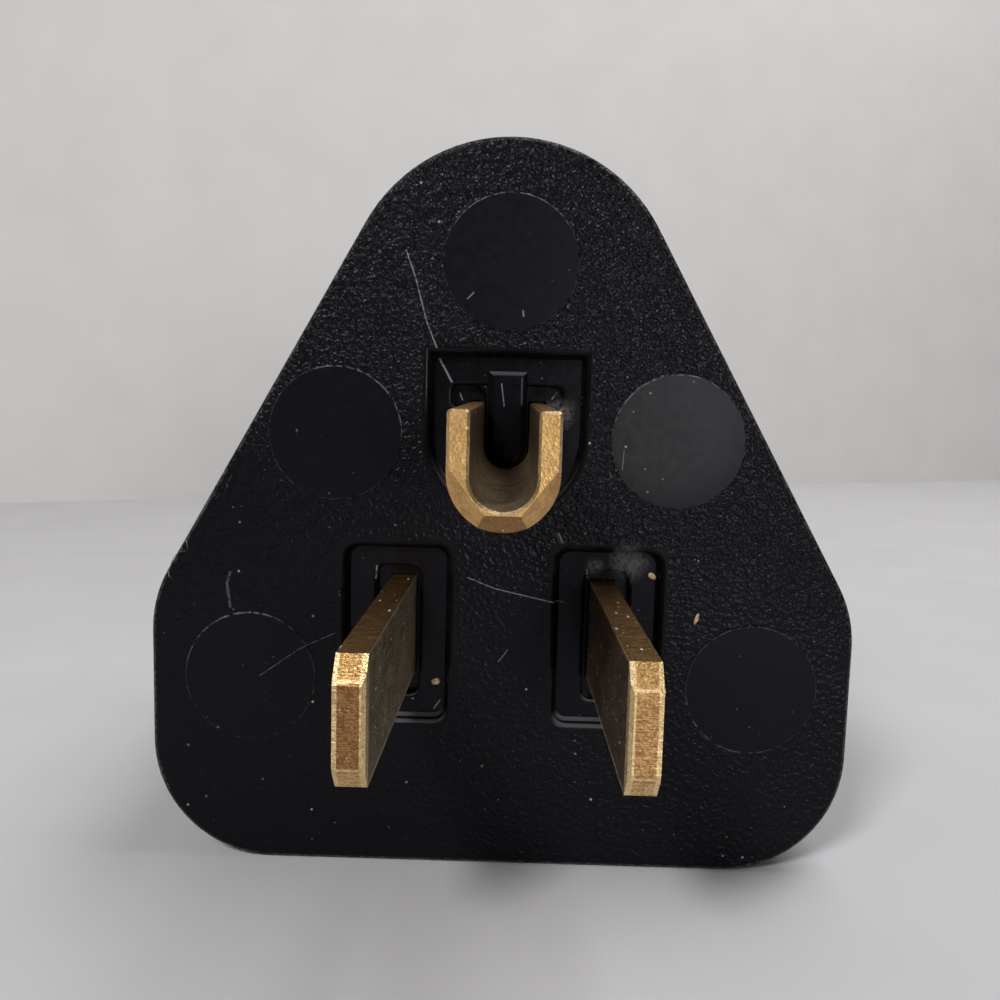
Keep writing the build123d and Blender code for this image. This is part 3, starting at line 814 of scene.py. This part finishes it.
def makeLump(name, shape, material):
    bpy.ops.object.select_all(action="DESELECT")
    bpy.ops.mesh.primitive_ico_sphere_add(subdivisions=2, radius=1.0)
    lump = bpy.context.object
    lump.name = name
    bpy.ops.object.mode_set(mode="EDIT")
    bpy.ops.mesh.select_all(action="SELECT")
    bpy.ops.transform.vertex_random(offset=0.3, uniform=0.0, normal=0.0, seed=shape["seed"])
    bpy.ops.transform.resize(value=[side * mm for side in shape["size"]], center_override=(0, 0, 0))
    turn = math.radians(shape["turn"])
    bpy.ops.transform.rotate(value=turn, orient_axis="Y", center_override=(0, 0, 0))
    bpy.ops.transform.translate(value=[side * mm for side in shape["place"]])
    bpy.ops.mesh.normals_make_consistent(inside=False)
    settle(lump, material)
    softened = lump.modifiers.new("softened", "SUBSURF")
    softened.levels = softened.render_levels = 1
    bpy.ops.object.modifier_apply(modifier=softened.name)


def makeShaving(name, points, material):
    places = [Vector((x, shavings["front"], z)) * mm for x, z in points]
    bpy.ops.object.select_all(action="DESELECT")
    bpy.ops.mesh.primitive_circle_add(vertices=6, radius=shavings["thickness"] * mm, fill_type="NGON")
    shaving = bpy.context.object
    shaving.name = name
    bpy.ops.object.mode_set(mode="EDIT")
    bpy.ops.mesh.select_all(action="SELECT")
    bpy.ops.transform.rotate(value=math.radians(30), orient_axis="Y", center_override=(0, 0, 0))
    bpy.ops.transform.translate(value=places[0])
    for before, after in zip(places, places[1:]):
        bpy.ops.mesh.extrude_region_move(TRANSFORM_OT_translate={"value": after - before})
    bpy.ops.mesh.select_all(action="SELECT")
    bpy.ops.mesh.normals_make_consistent(inside=False)
    settle(shaving, material)


chaff = makeBitMaterial("chaff")
for name, shape in crumbs.items():
    makeLump(name, shape, chaff)
makeLump("line_blade_burr", burr, makeBitMaterial("burrBrass"))
whitened = makeBitMaterial("whitenedPlastic")
for number, points in enumerate(shavings["curls"], 1):
    makeShaving("shaving_" + str(number), points, whitened)
print("crumbs, burr and shavings made")

# Table, wall, lamps and world
stageLook = {
    "size": 6.0,
    "table": (0.60, 0.59, 0.605, 1),
    "wall": (0.685, 0.67, 0.655, 1),
    "mottle": 60.0,
    "darker": 0.97,
    "roughness": 0.9,
    "specular": 0.2,
    "wallPlace": (0.0351, 0.2305, 0),
    "wallTurn": 25.6,
    "world": 0.06,
}
lamps = {  # place, aim, size across and along, watts
    "overhead": ((0.20, 0.08, 0.42), (0.19, 0.21, 0.04), (0.34, 0.26), 1.3),
    "left": ((-0.115, -0.257, 0.22), (0, 0, 0.035), (0.07, 0.06), 0.72),
    "front": ((0.15, -0.44, 0.065), (0, 0, 0.03), (0.12, 0.12), 0.52),
}


def addPlane(name, place, turn):
    colour = stageLook[name]
    bpy.ops.mesh.primitive_plane_add(size=stageLook["size"], location=place, rotation=turn)
    plane = bpy.context.object
    plane.name = name
    material, tree, surface, where = newMaterial(name + "Paint")
    mottle = ramp(tree, noiseAt(tree, where, stageLook["mottle"], 1.0, 0.6), 0.3, 0.7)
    darker = [part * stageLook["darker"] for part in colour[:3]] + [1]
    feed(tree, surface.inputs["Base Color"], blendColour(tree, mottle, darker, colour))
    surface.inputs["Roughness"].default_value = stageLook["roughness"]
    surface.inputs["Specular IOR Level"].default_value = stageLook["specular"]
    plane.data.materials.append(material)


def addLamp(name, place, aim, size, power):
    data = bpy.data.lights.new(name, "AREA")
    data.shape = "RECTANGLE"
    data.size, data.size_y = size
    data.energy = power
    lamp = bpy.data.objects.new(name, data)
    lamp.location = place
    lamp.rotation_euler = (Vector(aim) - Vector(place)).to_track_quat("-Z", "Y").to_euler()
    bpy.context.scene.collection.objects.link(lamp)


bpy.ops.object.select_all(action="DESELECT")
addPlane("table", (0, 0, 0), (0, 0, 0))
addPlane("wall", stageLook["wallPlace"], (math.radians(90), 0, math.radians(stageLook["wallTurn"])))
for name, (place, aim, size, power) in lamps.items():
    addLamp(name, place, aim, size, power)
world = bpy.data.worlds.new("studio")
world.use_nodes = True
world.node_tree.nodes["Background"].inputs["Color"].default_value = (1, 1, 1, 1)
world.node_tree.nodes["Background"].inputs["Strength"].default_value = stageLook["world"]
bpy.context.scene.world = world
print("stage and lamps ready")
